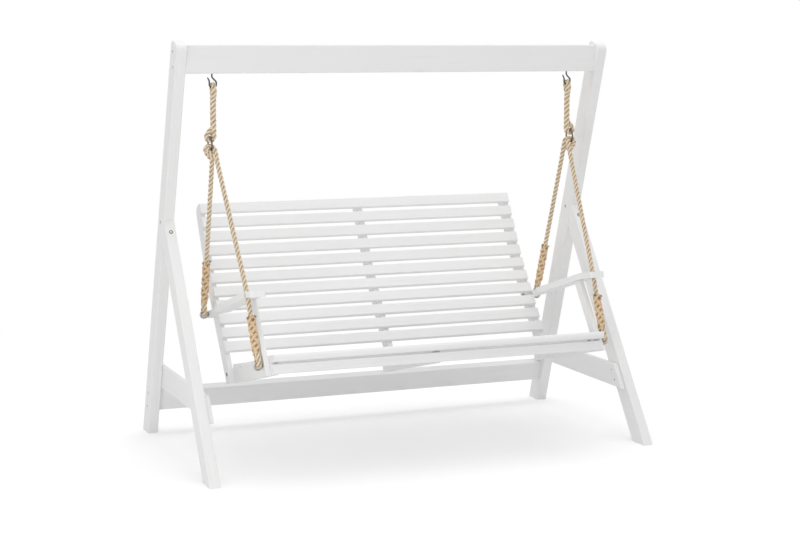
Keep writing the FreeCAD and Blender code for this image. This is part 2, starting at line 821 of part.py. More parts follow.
def front_edge():
    """The uprights' front edge as a wire that starts at the lowest slat."""
    points = [Vector(0, size("back_start"), size("back_start_height"))]
    points.append(Vector(0, value(BACK_BEND_Y), value(BACK_BEND_Z)))
    points.append(Vector(0, value(BACK_TOP[0]), value(BACK_TOP[1])))
    return tangent_wire(points, [size("back_bend_radius")])


def bearer_top():
    """The bearers' hollow top edge as a wire of three straight runs that starts at the rear."""
    rise = math.radians(size("seat_rise"))
    forward, up = Vector(0, -math.cos(rise), math.sin(rise)), Vector(0, math.sin(rise), math.cos(rise))
    corner = Vector(0, size("seat_rear"), size("seat_rear_height"))
    deep, hollow = size("bearer_depth"), size("bearer_hollow")
    low = [corner + forward * value(run) + up * (deep - hollow) for run in HOLLOW_RUNS]
    ends = [corner + forward * value(run) + up * deep for run in ("0", LEDGE_RUN)]
    return Part.makePolygon([ends[0], *low, ends[1]])


def make_slat(label, wire, distance, lift, half_length):
    """A slat that lies across the boards at a distance along their edge."""
    body = new_body(label)
    outline = section("dims.slat_thickness", "dims.slat_width", "dims.slat_bevel", (-lift,))
    pad(body, outline, f"2 * {half_length}")
    half = size("slat_width") / 2
    low, high = station(wire, distance - half)[0], station(wire, distance + half)[0]
    along = (high - low).normalize()
    out = Vector(0, -along.z, along.y) * lift
    middle = (low + high) * 0.5 + out * (size("slat_thickness") / 2)
    turn = math.degrees(math.atan2(-along.y, along.z))
    body.Placement = Placement(middle, Rotation(Vector(1, 0, 0), turn))
    body.setExpression("Placement.Base.x", f"-({half_length})")


def make_slats():
    edge = front_edge()
    for index in range(int(size("back_slat_count"))):
        distance = size("slat_pitch") * (index + 0.5)
        make_slat(f"back_slat_{index + 1}", edge, distance, 1, HALF_BENCH)
    top = bearer_top()
    for index in range(int(size("seat_slat_count"))):
        distance = size("seat_slat_first") + value(SEAT_PITCH) * index
        make_slat(f"seat_slat_{index + 1}", top, distance, -1, BENCH_INNER)


def make_arm_post(side):
    body = new_body(f"{side_name(side)}_arm_post")
    front = beside(ARM_POST_MIDDLE, "-dims.arm_post_depth / 2")
    rear = beside(ARM_POST_MIDDLE, "dims.arm_post_depth / 2")
    underside = beside(ARM_MIDDLE, "-dims.arm_thickness / 2")
    pad(
        body,
        [
            crossing(front, SEAT_LINE),
            crossing(rear, SEAT_LINE),
            crossing(rear, underside),
            crossing(front, underside),
        ],
        "dims.side_thickness",
    )
    bore(body, "EyeBoltHole", (FRONT_EYE,), "dims.bolt_hole / 2")
    place(body, outer_x(side, HALF_BENCH, "dims.side_thickness"))


def make_armrest(side):
    """The plan outline as a thick board, pared down to a bent board above and below."""
    body = new_body(f"{side_name(side)}_armrest")
    sketch = new_sketch(body, "XY_Plane", "PlanOutline")
    sketch.setExpression("AttachmentOffset.Base.z", "-dims.arm_thickness * 1.5")
    draw_outline(sketch, arm_plan(side))
    plank = body.newObject("PartDesign::Pad", "Plank")
    plank.Profile = sketch
    plank.setExpression("Length", "dims.arm_thickness * 2")
    document.recompute()
    for name, sign in (("Above", 1), ("Below", -1)):
        waste = new_sketch(body, "YZ_Plane", name + "Waste")
        draw_outline(waste, arm_waste(sign))
        cut(body, waste, name)
    bore(body, "EyeBoltHole", (("0", "0"),), "dims.bolt_hole / 2")
    start = outer_x(side, f"({ARM_INNER} + dims.arm_width)", "dims.arm_width")
    place(body, start, REAR_EYE[0], REAR_EYE[1], "-dims.arm_slope")


def arm_plan(side):
    """The armrest from above: gaps from its inner edge, distances behind the rear eye bolt."""
    wide = "dims.arm_width"
    inner = "dims.arm_overhang"
    outer = f"({inner} + dims.arm_tail_width)"
    front = f"-{ARM_FRONT_END}"
    slot = f"({wide} - dims.rope_notch_depth)"
    back, fore = f"-{NOTCH_BACK}", f"-({NOTCH_BACK} + dims.rope_notch_width)"
    end, bend = "dims.arm_end_round", "dims.arm_end_round * 6"
    places = [
        (inner, "dims.arm_tail", f"{end} / 2"),
        (inner, "-dims.arm_taper_end", bend),
        ("0", "-dims.arm_taper_start", bend),
        ("0", front, end),
        (wide, front, end),
        (wide, fore, f"{end} / 4"),
        (slot, fore, "dims.rope_notch_width * 0.49"),
        (slot, back, "dims.rope_notch_width * 0.49"),
        (wide, back, f"{end} / 4"),
        (wide, "-dims.arm_taper_start", bend),
        (outer, "-dims.arm_taper_end", bend),
        (outer, "dims.arm_tail", end),
    ]
    if side == LEFT:
        places = [(f"{wide} - {gap}", along, radius) for gap, along, radius in places]
    return places


def arm_waste(sign):
    """What is pared away above or below the bent board, seen from the side."""
    half = f"{sign} * dims.arm_thickness / 2"
    clear = f"{sign} * dims.arm_thickness * 2"
    flat = ("0", "0", "-90")
    sloped = (f"-{ARM_REAR_RUN}", "0", "(dims.arm_front_slope - dims.arm_slope - 90)")
    tail = ("dims.arm_tail + 5", "0", "0")
    front = (f"-({ARM_FRONT_END} + 20)", "0", "0")
    return [
        crossing(beside(flat, half), tail),
        (*crossing(beside(flat, half), beside(sloped, half)), f"dims.arm_bend_radius + {half}"),
        crossing(beside(sloped, half), front),
        (front[0], clear),
        (tail[0], clear),
    ]


# Eye bolts of the seat
def make_eye_bolts():
    """Eye bolts through the tongues and uprights behind, the arm posts and bearers in front."""
    bolts, nuts = [], []
    wire, bend = size("eye_wire") / 2, size("eye_bend")
    for side in (LEFT, RIGHT):
        inward = Vector(-side, 0, 0)
        for place_name in ("rear", "front"):
            middle = eye_middle(side, place_name)
            if place_name == "rear":
                grip = size("arm_tail_width") + size("side_thickness")
            else:
                grip = size("side_thickness") + size("bearer_thickness")
            outline = facets(middle + Vector(bend, 0, 0), Vector(0, 0, 1), wire)
            eye = Part.Face(outline).revolve(middle, Vector(0, 1, 0), 360)
            long = wire + grip + size("washer_thickness") + size("nut_height") + 4
            shank = straight_bar(middle + inward * bend, inward, long, size("bolt_diameter") / 2)
            bolts.append(eye.fuse(shank))
            nuts.append(nut(middle + inward * (bend + wire + grip), inward))
    add_group("eye_bolts", bolts)
    add_group("eye_bolt_nuts", nuts)


def check_and_write():
    document.recompute()
    os.makedirs("parts", exist_ok=True)
    for item in document.Objects:
        if "Invalid" in item.State or "Error" in item.State:
            raise RuntimeError(f"{item.Label}: {item.State}")
    for piece in parts:
        shape = piece.Shape
        if shape.isNull() or not shape.isValid() or shape.Volume <= 0:
            raise RuntimeError(f"{piece.Label}: the shape isn't sound")
        shape.exportStep(os.path.join("parts", f"{piece.Label}.step"))
    print(f"{len(parts)} pieces written")


def build():
    fill_sheet()
    for side in (LEFT, RIGHT):
        make_post(side)
        make_leg(side)
        make_side_rail(side)
    make_rear_rail()
    make_beam()
    for side in (LEFT, RIGHT):
        make_hook(side)
    make_rings()
    make_ropes()
    for name, across in (("left", LEFT), ("right", RIGHT)):
        make_upright(name, outer_x(across, HALF_BENCH, "dims.side_thickness"))
        make_bearer(name, outer_x(across, BENCH_INNER, "dims.bearer_thickness"))
        make_armrest(across)
        make_arm_post(across)
    make_upright("centre", "-dims.side_thickness / 2")
    make_bearer("centre", "-dims.side_thickness / 2 - dims.bearer_thickness")
    make_nose()
    make_apron()
    make_slats()
    make_eye_bolts()
    check_and_write()


build()
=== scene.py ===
import bpy
import math
import random
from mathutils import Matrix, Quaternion, Vector


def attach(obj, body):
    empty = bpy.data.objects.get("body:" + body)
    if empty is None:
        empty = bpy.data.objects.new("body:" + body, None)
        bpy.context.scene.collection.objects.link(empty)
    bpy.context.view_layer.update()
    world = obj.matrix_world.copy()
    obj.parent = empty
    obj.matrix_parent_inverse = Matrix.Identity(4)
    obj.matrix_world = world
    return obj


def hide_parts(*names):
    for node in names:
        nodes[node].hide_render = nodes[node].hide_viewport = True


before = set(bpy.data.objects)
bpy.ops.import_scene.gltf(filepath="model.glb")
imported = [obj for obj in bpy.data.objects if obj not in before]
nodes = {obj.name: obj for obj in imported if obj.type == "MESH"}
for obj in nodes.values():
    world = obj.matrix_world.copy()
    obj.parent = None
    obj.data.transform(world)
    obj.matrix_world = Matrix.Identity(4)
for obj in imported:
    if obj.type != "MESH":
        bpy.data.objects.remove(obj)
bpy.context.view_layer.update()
scene = bpy.context.scene
SIDES = (("left", -1), ("right", 1))
X, Y, Z = Vector((1, 0, 0)), Vector((0, 1, 0)), Vector((0, 0, 1))


# Node trees of the materials
class Tree:
    """A small helper that adds nodes to a tree and links them by name."""

    def __init__(self, owner):
        owner.use_nodes = True
        self.nodes = owner.node_tree.nodes
        self.links = owner.node_tree.links
        self.nodes.clear()

    def add(self, kind, settings=None, **sockets):
        """A new node. The name of an input has _ for each space, and i0 is the first input."""
        node = self.nodes.new(kind)
        for name, value in (settings or {}).items():
            setattr(node, name, value)
        for name, value in sockets.items():
            self.plug(node, name.replace("_", " "), value)
        return node

    def plug(self, node, name, value):
        """Links a socket or a node to an input, or gives the input a fixed value."""
        numbered = name[0] == "i" and name[1:].isdigit()
        socket = node.inputs[int(name[1:]) if numbered else name]
        if isinstance(value, bpy.types.NodeSocket):
            self.links.new(value, socket)
        elif isinstance(value, bpy.types.Node):
            self.links.new(value.outputs[0], socket)
        else:
            socket.default_value = value

    def math(self, operation, a, b=0.0, clamp=False):
        settings = {"operation": operation, "use_clamp": clamp}
        return self.add("ShaderNodeMath", settings, i0=a, i1=b).outputs[0]

    def weigh(self, *parts, clamp=False):
        """The sum of some values, each times its weight."""
        total = None
        for value, weight in parts:
            part = self.math("MULTIPLY", value, weight)
            total = part if total is None else self.math("ADD", total, part, clamp)
        return total

    def mix(self, factor, a, b):
        """Colour a where the factor is 0, and colour b where it is 1."""
        return self.add("ShaderNodeMix", {"data_type": "RGBA"}, i0=factor, i6=a, i7=b).outputs[2]

    def ramp(self, factor, start, end):
        """0 up to the start, 1 from the end on and smooth between. The end may be the lower one."""
        settings = {"interpolation_type": "SMOOTHSTEP"}
        node = self.add("ShaderNodeMapRange", settings, Value=factor, From_Min=start, From_Max=end)
        return node.outputs[0]

    def noise(self, vector, scale, detail=3.0, rough=0.5):
        node = self.add("ShaderNodeTexNoise", Vector=vector, Scale=scale, Detail=detail, Roughness=rough)
        return node.outputs[0]

    def place(self):
        """The object's own coordinates."""
        return self.add("ShaderNodeTexCoord").outputs["Object"]

    def surface(self, **sockets):
        """The material's Principled shader, linked to its output."""
        shader = self.add("ShaderNodeBsdfPrincipled", **sockets)
        self.add("ShaderNodeOutputMaterial", Surface=shader)


def new_material(name):
    material = bpy.data.materials.new(name)
    return material, Tree(material)


def grey(level, warmth=0.0):
    return (level * (1 + warmth), level, level * (1 - warmth), 1)


PAINT = 0.85
GRAIN_SQUEEZE, KNOT_SQUEEZE = 0.035, 0.45
KNOT_STRENGTH, CLOUD_STRENGTH = 0.5, 0.55


def along_grain(lean, squeeze):
    """A scale that draws a pattern out along the grain."""
    return (squeeze, 1, 1) if lean is None else (1, 1, squeeze)


def pine(name, lean=None):
    """White glazed pine. The grain runs along X, or climbs at a lean from vertical towards +Y."""
    material, tree = new_material(name)
    place = tree.place()
    turned = tree.add("ShaderNodeMapping", Vector=place, Rotation=(math.radians(lean or 0), 0, 0))
    drawn_out = tree.add("ShaderNodeMapping", Vector=turned, Scale=along_grain(lean, GRAIN_SQUEEZE))
    oval = tree.add("ShaderNodeMapping", Vector=turned, Scale=along_grain(lean, KNOT_SQUEEZE))
    rings = tree.noise(drawn_out, scale=62.0, detail=4.0, rough=0.55)
    fibre = tree.noise(drawn_out, scale=420.0, detail=3.0, rough=0.6)
    cloud = tree.noise(place, scale=2.3, detail=2.0, rough=0.5)
    knots = tree.add("ShaderNodeTexVoronoi", {"feature": "F1"}, Vector=oval, Scale=6.0)
    grain = tree.ramp(rings, start=0.56, end=0.72)
    knot = tree.ramp(knots.outputs["Distance"], start=0.085, end=0.03)
    clear, streak = grey(PAINT), grey(PAINT * 0.958, 0.008)
    knotty, dull = grey(PAINT * 0.90, 0.022), grey(PAINT * 0.965, 0.003)
    base = tree.mix(grain, clear, streak)
    base = tree.mix(tree.math("MULTIPLY", knot, KNOT_STRENGTH), base, knotty)
    base = tree.mix(tree.ramp(cloud, start=0.25, end=0.8), base, tree.mix(CLOUD_STRENGTH, base, dull))
    height = tree.weigh((rings, -0.6), (fibre, 0.35))
    bump = tree.add("ShaderNodeBump", Height=height, Strength=0.32, Distance=0.0007)
    rough = tree.add("ShaderNodeMapRange", Value=fibre, To_Min=0.44, To_Max=0.60)
    tree.surface(Base_Color=base, Roughness=rough, Normal=bump, Specular_IOR_Level=0.35)
    return material


def steel(name, level, warmth, roughness):
    """Zinc-coated steel: cloudy patches and a fine grain."""
    material, tree = new_material(name)
    place = tree.place()
    cloud = tree.noise(place, scale=95.0, detail=4.0, rough=0.6)
    fine = tree.noise(place, scale=900.0, detail=2.0, rough=0.6)
    bright, dull = grey(level, warmth), grey(level * 0.66, warmth)
    base = tree.mix(tree.ramp(cloud, start=0.3, end=0.7), bright, dull)
    rough = tree.add("ShaderNodeMapRange", Value=cloud, To_Min=roughness - 0.08, To_Max=roughness + 0.14)
    bump = tree.add("ShaderNodeBump", Height=fine, Strength=0.2, Distance=0.0002)
    tree.surface(Base_Color=base, Roughness=rough, Normal=bump, Metallic=1.0)
    return material


YARNS_AROUND = 3.0


def hemp(name, light, dark, yarn=0.0052, hollow_shade_weight=0.31):
    """Laid natural fibre: twisted yarns on each strand, with painted shade in the grooves between yarns and
    where each strand turns in to its neighbours.
    """
    material, tree = new_material(name)
    where = tree.add("ShaderNodeTexCoord")
    split = tree.add("ShaderNodeSeparateXYZ", Vector=where.outputs["UV"])
    around, along = split.outputs[0], split.outputs[1]
    twist = tree.weigh((around, YARNS_AROUND), (along, -1 / yarn))
    wave = tree.math("SINE", tree.math("MULTIPLY", twist, math.tau))
    outward = tree.math("COSINE", tree.math("MULTIPLY", around, math.tau))
    # Painted shade on the side of each strand that turns in to the rope and its neighbours.
    painted_hollow_shade = tree.ramp(outward, start=0.96, end=0.40)
    # Painted shade in the grooves between the yarns.
    painted_yarn_groove_shade = tree.ramp(wave, start=-0.2, end=-1.0)
    patch = tree.noise(where.outputs["Object"], scale=60.0, detail=4.0, rough=0.6)
    fuzz = tree.noise(where.outputs["Object"], scale=1300.0, detail=3.0, rough=0.7)
    # The painted groove and hollow shade, with patches and fuzz of random tone.
    shade = tree.weigh((painted_yarn_groove_shade, 0.22), (patch, 0.30), (fuzz, 0.18), (painted_hollow_shade, hollow_shade_weight), clamp=True)
    base = tree.mix(tree.ramp(shade, start=0.16, end=1.08), light, dark)
    height = tree.weigh((wave, 0.5), (fuzz, 0.8))
    bump = tree.add("ShaderNodeBump", Height=height, Strength=0.7, Distance=0.0006)
    tree.surface(
        Base_Color=base, Normal=bump, Roughness=0.85, Specular_IOR_Level=0.2,
        Sheen_Weight=0.15, Sheen_Roughness=0.5,
    )
    return material


def shadow_gap(name):
    """Painted shade for the inside of a bolt hole: near black, with greyer specks."""
    material, tree = new_material(name)
    speck = tree.noise(tree.place(), scale=700.0, detail=3.0, rough=0.6)
    base = tree.mix(speck, grey(0.03, 0.04), grey(0.10, 0.04))
    tree.surface(Base_Color=base, Roughness=0.9)
    return material


# Meshes
SHARP_EDGE = math.radians(38)
SMALLEST_RADIUS = 1e-5


class Shape:
    """Points, faces and face coordinates that end up as one object."""

    def __init__(self):
        self.points, self.faces, self.coords = [], [], []

    def face(self, corners, coords=None):
        self.faces.append(tuple(corners))
        self.coords.append(coords or [(0.0, 0.0)] * len(corners))

    def rows(self, rings, lengths, closed=False):
        """Skins rings of points that all have the same count. An open skin gets a face at each end."""
        count = len(rings[0])
        start = len(self.points)
        for ring in rings:
            self.points.extend(ring)
        for i in range(len(rings) if closed else len(rings) - 1):
            j = (i + 1) % len(rings)
            here, there = start + i * count, start + j * count
            low = lengths[i]
            high = lengths[j] if j else low + (lengths[1] - lengths[0])
            for k in range(count):
                m = (k + 1) % count
                u, v = k / count, (k + 1) / count
                corners = [here + k, here + m, there + m, there + k]
                self.face(corners, [(u, low), (v, low), (v, high), (u, high)])
        if not closed:
            end = start + (len(rings) - 1) * count
            self.face([start + k for k in reversed(range(count))])
            self.face([end + k for k in range(count)])

    def tube(self, line, radius, sides=12, closed=False):
        """A round bar along a line; its radius is a number or one number per point."""
        radii = radius if isinstance(radius, list) else [radius] * len(line)
        rings = []
        for (point, normal, side), width in zip(frames(line, closed), radii):
            rings.append(circle(point, normal, side, width, sides))
        self.rows(rings, distances(line), closed)

    def strand(self, stations, offsets, angles, radii, sides=12):
        """A strand wound round a rope. Its face coordinates start on the side away from the rope."""
        middles, outs = [], []
        for (point, normal, side), offset, angle in zip(stations, offsets, angles):
            out = normal * math.cos(angle) + side * math.sin(angle)
            middles.append(point + out * offset)
            outs.append(out)
        rings = []
        last = len(middles) - 1
        for i, (middle, out, width) in enumerate(zip(middles, outs, radii)):
            heading = (middles[min(i + 1, last)] - middles[max(i - 1, 0)]).normalized()
            out = (out - heading * out.dot(heading)).normalized()
            rings.append(circle(middle, out, heading.cross(out), width, sides))
        self.rows(rings, distances(middles))

    def turned(self, profile, base, axis, sides=24):
        """A turned form: pairs of height and radius about an axis from a base point."""
        axis = axis.normalized()
        normal = axis.orthogonal().normalized()
        side = axis.cross(normal)
        angles = [math.tau * k / sides for k in range(sides)]
        spokes = [normal * math.cos(angle) + side * math.sin(angle) for angle in angles]
        rings = []
        for height, radius in profile:
            middle = base + axis * height
            rings.append([middle + spoke * max(radius, SMALLEST_RADIUS) for spoke in spokes])
        self.rows(rings, [height for height, _ in profile])

    def build(self, name, material, body, slot):
        """The whole shape as one object, which rides on a body."""
        mesh = bpy.data.meshes.new(name)
        mesh.from_pydata(self.points, [], self.faces)
        layer = mesh.uv_layers.new(name="UVMap")
        flat = [pair for coords in self.coords for pair in coords]
        for loop, pair in zip(layer.data, flat):
            loop.uv = pair
        mesh.materials.append(material)
        mesh.shade_smooth()
        mesh.set_sharp_from_angle(angle=SHARP_EDGE)
        piece = bpy.data.objects.new(name, mesh)
        scene.collection.objects.link(piece)
        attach(piece, body)
        return piece


def circle(middle, first, second, radius, count):
    """Points round a middle, from the first direction towards the second."""
    turns = [math.tau * k / count for k in range(count)]
    return [middle + first * (radius * math.cos(t)) + second * (radius * math.sin(t)) for t in turns]


def distances(line):
    """How far each point of a line is along it."""
    total, found = 0.0, [0.0]
    for a, b in zip(line, line[1:]):
        total += (b - a).length
        found.append(total)
    return found


def frames(line, closed=False):
    """A point, a normal and a side at each point of a line, turned as little as possible."""
    found, normal = [], None
    last = len(line) - 1
    for i, point in enumerate(line):
        before = line[i - 1] if i or closed else point
        after = line[i + 1] if i < last else (line[0] if closed else point)
        heading = (after - before).normalized()
        if normal is None:
            normal = heading.orthogonal().normalized()
        normal = (normal - heading * normal.dot(heading)).normalized()
        found.append((point, normal, heading.cross(normal)))
    return found


def spread_evenly(line, step):
    """The same line with points at about equal steps."""
    reach = distances(line)
    count = max(2, round(reach[-1] / step))
    found, i = [], 0
    for number in range(count + 1):
        goal = reach[-1] * number / count
        while i < len(line) - 2 and reach[i + 1] < goal:
            i += 1
        share = (goal - reach[i]) / max(reach[i + 1] - reach[i], 1e-9)
        found.append(line[i].lerp(line[i + 1], min(max(share, 0), 1)))
    return found


BEND_STEP = 0.0012
SAME_POINT = 1e-6


def bent_line(points, radii):
    """A metal bar's line: straight runs and round bends, one radius per inner point."""
    line = [points[0]]
    for i, radius in enumerate(radii, start=1):
        corner = points[i]
        before = (points[i - 1] - corner).normalized()
        after = (points[i + 1] - corner).normalized()
        half = before.angle(after) / 2
        run = radius / math.tan(half)
        centre = corner + (before + after).normalized() * (radius / math.sin(half))
        start, end = corner + before * run - centre, corner + after * run - centre
        turn = start.angle(end)
        axis = start.cross(end).normalized()
        count = max(3, round(radius * turn / BEND_STEP))
        for k in range(count + 1):
            line.append(centre + Quaternion(axis, turn * k / count) @ start)
    line.append(points[-1])
    return [p for i, p in enumerate(line) if i == 0 or (p - line[i - 1]).length > SAME_POINT]


def mirrored(point, side):
    return Vector((point[0] * side, point[1], point[2]))


# Boards. A lean is the grain's angle from vertical towards +Y, in degrees.
BACK_SLATS = [f"back_slat_{i}" for i in range(1, 12)]
SEAT_SLATS = [f"seat_slat_{i}" for i in range(1, 9)]
X_BOARDS = ["rear_rail", "top_beam", "nose_slat", "apron"] + BACK_SLATS + SEAT_SLATS
LEG_LEAN = 35.11
LEANS = {
    "post": -18.77, "leg": LEG_LEAN, "side_rail": 90, "upright": 34, "bearer": -76.3,
    "armrest": -74.1, "arm_post": 36,
}
WELD_DISTANCE = 0.00002
WORN_EDGE = 0.0012
WORN_ANGLE = math.radians(28)


def dress_boards():
    """Gives each board its wood and a worn edge, and hands back the wood whose grain runs along X."""
    along_x = pine("pine_along")
    woods = {kind: pine(f"pine_{kind}", lean) for kind, lean in LEANS.items()}
    for label, node in nodes.items():
        first, _, rest = label.partition("_")
        kind = rest if first in ("left", "right", "centre") else label
        wood = along_x if label in X_BOARDS else woods.get(kind)
        if wood is None:
            continue
        node.data.materials.clear()
        node.data.materials.append(wood)
        weld = node.modifiers.new("Weld", "WELD")
        weld.merge_threshold = WELD_DISTANCE
        bevel = node.modifiers.new("Worn edge", "BEVEL")
        bevel.width = WORN_EDGE
        bevel.segments = 3
        bevel.limit_method = "ANGLE"
        bevel.angle_limit = WORN_ANGLE
        bevel.harden_normals = True
    return along_x


# Iron fittings. Places are those of the right side, in metres, and a profile is height and radius.
HOOK_SEAT = Vector((0.83, -0.043, 1.565))
HOOK_WIRE = 0.0035
HOOK_TIP = HOOK_WIRE * 0.75
HOOK_ROUTE = [
    (-0.004, 0.1550), (-0.004, 0.0450), (0.015, 0.0255), (0.015, 0), (-0.015, 0), (-0.015, 0.0285),
    (-0.0225, 0.0435),
]
HOOK_BENDS = [0.0105, 0.0105, 0.015, 0.015, 0.0105]
RING_MIDDLE = Vector((0.8443, -0.043, 1.331))
RING_RADIUS, RING_WIRE = 0.030, 0.0035
REAR_EYE = Vector((0.8095, 0.2075, 0.570))
FRONT_EYE = Vector((0.7815, -0.499, 0.465))
EYE_RADIUS, EYE_WIRE = 0.0155, 0.004
COLLAR_START, GRIP_START, GRIP = 0.0140, 0.0195, 0.050
COLLAR = [(0, 0.0036), (0.0035, 0.0052), (0.0055, 0.0088), (0.0055, 0.0092), (0.0068, 0.0092)]
WASHER = [(0, 0.0045), (0, 0.0097), (0.0003, 0.0100), (0.0013, 0.0100), (0.0016, 0.0097), (0.0016, 0.0045)]
NUT_FOOT, NUT_TOP = 0.0016, 0.0081
NUT_CORNER = 0.0065 / math.cos(math.pi / 6)
THREAD_PITCH, THREAD_DEPTH = 0.00125, 0.0005
THREAD_START, THREAD_LENGTH, THREAD_RADIUS = 0.0079, 0.0042, 0.0041


def threaded_end(shape, base, axis, length, radius):
    """A bolt's thread as fine ridges, with a chamfered tip."""
    profile = [(0, radius)]
    for i in range(int(length / THREAD_PITCH) - 1):
        profile += [(THREAD_PITCH * (i + 0.25), radius - THREAD_DEPTH), (THREAD_PITCH * (i + 0.75), radius)]
    profile += [(length - 0.0006, radius - 0.0004), (length, radius - 0.0012), (length, 0)]
    shape.turned(profile, base, axis, sides=16)


def nut_and_washer(shape, base, axis):
    """A hexagon nut on a washer, with a round rim where the bolt comes out."""
    shape.turned(WASHER, base, axis, sides=32)
    hexagon = [
        (NUT_FOOT, NUT_CORNER - 0.0004), (NUT_FOOT + 0.0005, NUT_CORNER),
        (NUT_TOP - 0.0006, NUT_CORNER), (NUT_TOP, NUT_CORNER - 0.0007), (NUT_TOP, 0.0039),
    ]
    shape.turned(hexagon, base, axis, sides=6)
    rim = [(NUT_TOP - 0.0001, 0.0056), (NUT_TOP + 0.0002, 0.0053), (NUT_TOP + 0.0002, 0.0040)]
    shape.turned(rim, base, axis, sides=24)


def make_hooks(dark):
    """Screw hooks: the shank's thread is inside the beam."""
    for name, side in SIDES:
        seat = mirrored(HOOK_SEAT, side)
        line = bent_line([seat + Vector((x, 0, z)) for x, z in HOOK_ROUTE], HOOK_BENDS)
        radii = [HOOK_WIRE] * (len(line) - 1) + [HOOK_TIP]
        shape = Shape()
        shape.tube(line, radii, sides=16)
        tip = [(-0.0002, HOOK_TIP), (0.0009, 0.0019), (0.0013, 0.0)]
        shape.turned(tip, line[-1], line[-1] - line[-2], sides=16)
        hook = shape.build(f"{name}_hook_bar", dark, "stand", slot="zinc_steel")
        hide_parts(f"{name}_hook")


def make_rings(dark):
    shape = Shape()
    for _, side in SIDES:
        round_line = circle(mirrored(RING_MIDDLE, side), Y, Z, RING_RADIUS, count=96)
        shape.tube(round_line, RING_WIRE, sides=16, closed=True)
    rings = shape.build("welded_rings", dark, "bench", slot="zinc_steel")
    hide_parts("rings")


def make_eyes(zinc):
    """The eye bolts that hold the lower ropes, each with its washer and nut on the inner side."""
    eyes, nuts = Shape(), Shape()
    for _, side in SIDES:
        for middle in (REAR_EYE, FRONT_EYE):
            centre = mirrored(middle, side)
            inward = X * -side
            eyes.tube(circle(centre, X, Z, EYE_RADIUS, count=64), EYE_WIRE, sides=16, closed=True)
            neck = centre + inward * COLLAR_START
            eyes.turned(COLLAR, neck, inward, sides=28)
            eyes.turned([(0, EYE_WIRE), (GRIP + 0.006, EYE_WIRE)], neck, inward, sides=16)
            base = centre + inward * (GRIP_START + GRIP)
            nut_and_washer(nuts, base, inward)
            threaded_end(nuts, base + inward * THREAD_START, inward, THREAD_LENGTH, THREAD_RADIUS)
    piece = eyes.build("eye_bolts_forged", zinc, "bench", slot="zinc_steel")
    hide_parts("eye_bolts")
    piece = nuts.build("eye_bolt_nuts_turned", zinc, "bench", slot="zinc_steel")
    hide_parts("eye_bolt_nuts")


# Ropes. Each list repeats its route's points on the right side, in metres.
UPPER_ROUTE = [
    (0.830, -0.0415, 1.5265), (0.830, -0.0278, 1.548), (0.830, -0.028, 1.580), (0.830, -0.058, 1.580),
    (0.830, -0.0582, 1.548), (0.830, -0.043, 1.523), (0.830, -0.043, 1.440), (0.8296, -0.043, 1.388),
    (0.829, -0.043, 1.3457), (0.8597, -0.043, 1.3457), (0.8594, -0.043, 1.374), (0.833, -0.043, 1.398),
]
REAR_ROUTE = [
    (0.8104, 0.195, 0.619), (0.8099, 0.188, 0.595), (0.8091, 0.1976, 0.5664), (0.8091, 0.2266, 0.5756),
    (0.8099, 0.2178, 0.6045), (0.8105, 0.1955, 0.6236), (0.8136, 0.1594, 0.738), (0.8253, 0.0182, 1.163),
    (0.8284, -0.018, 1.277), (0.8292, -0.0316, 1.3204), (0.8602, -0.0316, 1.3204), (0.8594, -0.0228, 1.2923),
    (0.8323, -0.015, 1.2675),
]
FRONT_ROUTE = [
    (0.7825, -0.4863, 0.514), (0.7819, -0.507, 0.5005), (0.7811, -0.519, 0.4727), (0.7811, -0.4912, 0.4605),
    (0.7819, -0.4788, 0.488), (0.7826, -0.4829, 0.5171), (0.7869, -0.4168, 0.6655), (0.789, -0.3846, 0.7387),
    (0.7951, -0.3358, 0.8258), (0.820, -0.1322, 1.175), (0.8274, -0.0737, 1.2795), (0.8297, -0.0515, 1.3191),
    (0.8607, -0.0515, 1.3191), (0.8589, -0.0659, 1.2935), (0.8309, -0.0785, 1.2708),
]
ROUTE_STEP = 0.0025

# A rope's diameter, one turn of its strands along it, the radius about which they're laid out, and
# each strand's offset and radius in shares of that one.
ROPE = 0.020
LAY = 0.064
STRANDS = 3
ROPE_RADIUS = ROPE * 0.535
STRAND_OFFSET, STRAND_RADIUS = 0.55, 0.455

# A splice has a core, the rope's own strands and the tucked ones, in shares of the splice's radius,
# and swells from its least radius at both ends.
CORE_RADIUS = 0.62
LAID_RADIUS, TUCKED_RADIUS = 0.44, 0.40
LAID_RATE, TUCKED_RATE = 1 / (LAY * 1.2), 1 / (LAY * 2.6)
PLAIT_OFFSET, PLAIT_WEAVE = 0.50, 0.10
SWELL_LEAST, SWELL_GAIN = 0.55, 0.45
SWELL_START, SWELL_START_RUN = 0.35, 0.40
SWELL_END, SWELL_END_RUN = 0.45, 0.14

# A frayed end: how far its root is from the rope's line, its length, how far the fibres' roots
# spread, the stub and the loose fibres.
FRAY_ROOT, FRAY_LENGTH, FRAY_WIDTH = 0.0130, 0.0110, 0.0040
STUB_SHARES = (-0.6, -0.2, 0.15, 0.4)
STUB_RADII = [0.0054, 0.0062, 0.0056, 0.0030]
FIBRES = 40
FIBRE_SHARES = (0, 0.35, 0.7, 1.0)
FIBRE_RADII = [0.0006, 0.0005, 0.0004, 0.00015]
FIBRE_DROOP = 0.35

# Each rope's full part is (from, to, how much thicker) and tapers at both ends, its splice is (from,
# to, radius), and a fray has a distance and a heading. A distance below 0 is counted from the end.
TAPER = 0.025
RING_EYE = (-0.150, -0.066, 1.12)
REAR_SPLICE = (0.120, 0.328, 0.0180)
FRONT_SPLICE = (0.120, 0.282, 0.0185)


def splice_frays(splice):
    """Three frayed ends just before a splice's end."""
    end = splice[1]
    return [(end - 0.010, (-1, -0.35, 0.6)), (end - 0.016, (1, -0.2, 0.5)), (end - 0.022, (0.1, -1, 0.5))]


